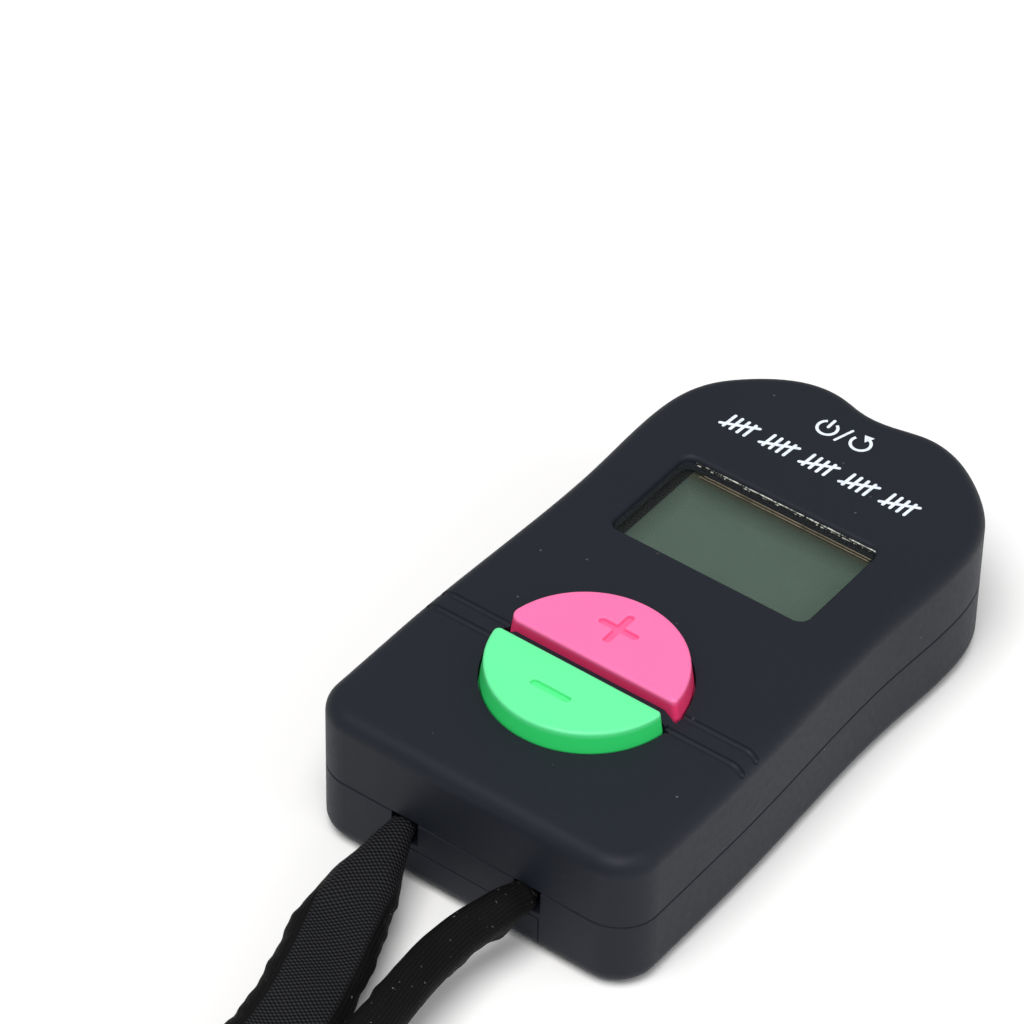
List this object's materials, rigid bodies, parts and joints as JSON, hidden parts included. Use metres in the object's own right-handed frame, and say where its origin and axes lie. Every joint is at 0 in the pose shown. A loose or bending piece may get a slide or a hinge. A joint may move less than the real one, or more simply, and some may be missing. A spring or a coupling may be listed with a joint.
{
  "type": "hand tally counter",
  "caption": "Small electronic hand counter with display window, two half-round count buttons, a reset button in one end, a sliding battery door and a flat neck strap.",
  "frame": {"origin": "centre of the case's plan rectangle, on its flat back face", "axes": "+Z out of the display face, +X right seen from the front, +Y from the lanyard end to the reset button"},
  "size_m": [0.0972, 0.2156, 0.0189],
  "materials": {
    "shell": "matte",
    "door": "matte",
    "pink": "satin",
    "green": "satin",
    "blue": "satin",
    "lens": "gloss",
    "lcd": "satin",
    "lcd_glass": "gloss",
    "reflector": "satin",
    "holder": "matte",
    "silicone": "matte",
    "carbon": "matte",
    "zebra": "matte",
    "board": "satin",
    "epoxy": "satin",
    "steel": "satin",
    "screw": "satin",
    "chip": "matte",
    "switch": "matte",
    "strap": "matte",
    "tie": "matte"
  },
  "bodies": {
    "case": {"front_shell": "shell", "back_shell": "shell", "display_lens": "lens", "lcd_polarizer": "lcd", "lcd_front_glass": "lcd_glass", "lcd_rear_glass": "lcd_glass", "lcd_reflector": "reflector", "lcd_holder": "holder", "zebra_strip": "zebra", "circuit_board": "board", "controller_chip": "epoxy", "crystal": "steel", "chip_components": "chip", "case_screws": "screw", "centre_screw": "screw", "board_screws": "screw", "button_cell": "steel", "battery_contact_negative": "steel", "battery_contact_positive": "steel", "plus_dome": "silicone", "minus_dome": "silicone", "reset_switch": "switch", "reset_spring": "steel", "lanyard_inner": "strap", "lanyard_strap_left": "strap", "lanyard_strap_right": "strap", "lanyard_roll": "strap", "roll_tie": "tie"},
    "plus_button": {"plus_button": "pink", "plus_contact_pill": "carbon"},
    "minus_button": {"minus_button": "green", "minus_contact_pill": "carbon"},
    "reset_button": {"reset_button": "blue", "reset_plunger": "switch"},
    "battery_door": {"battery_door": "door"}
  },
  "joints": [
    {"name": "plus_press", "type": "slide", "parent": "case", "child": "plus_button", "axis": [0, 0, -1], "range_m": [0, 0.0009], "stiffness_N_per_m": 900, "springref_m": -0.0006, "deforming": ["plus_dome"]},
    {"name": "minus_press", "type": "slide", "parent": "case", "child": "minus_button", "axis": [0, 0, -1], "range_m": [0, 0.0009], "stiffness_N_per_m": 900, "springref_m": -0.0006, "deforming": ["minus_dome"]},
    {"name": "reset_press", "type": "slide", "parent": "case", "child": "reset_button", "axis": [0, -1, 0], "range_m": [0, 0.0008], "stiffness_N_per_m": 900, "springref_m": -0.0006, "deforming": ["reset_spring"]},
    {"name": "door_slide", "type": "slide", "parent": "case", "child": "battery_door", "axis": [0, -1, 0], "range_m": [0, 0.022]}
  ]
}
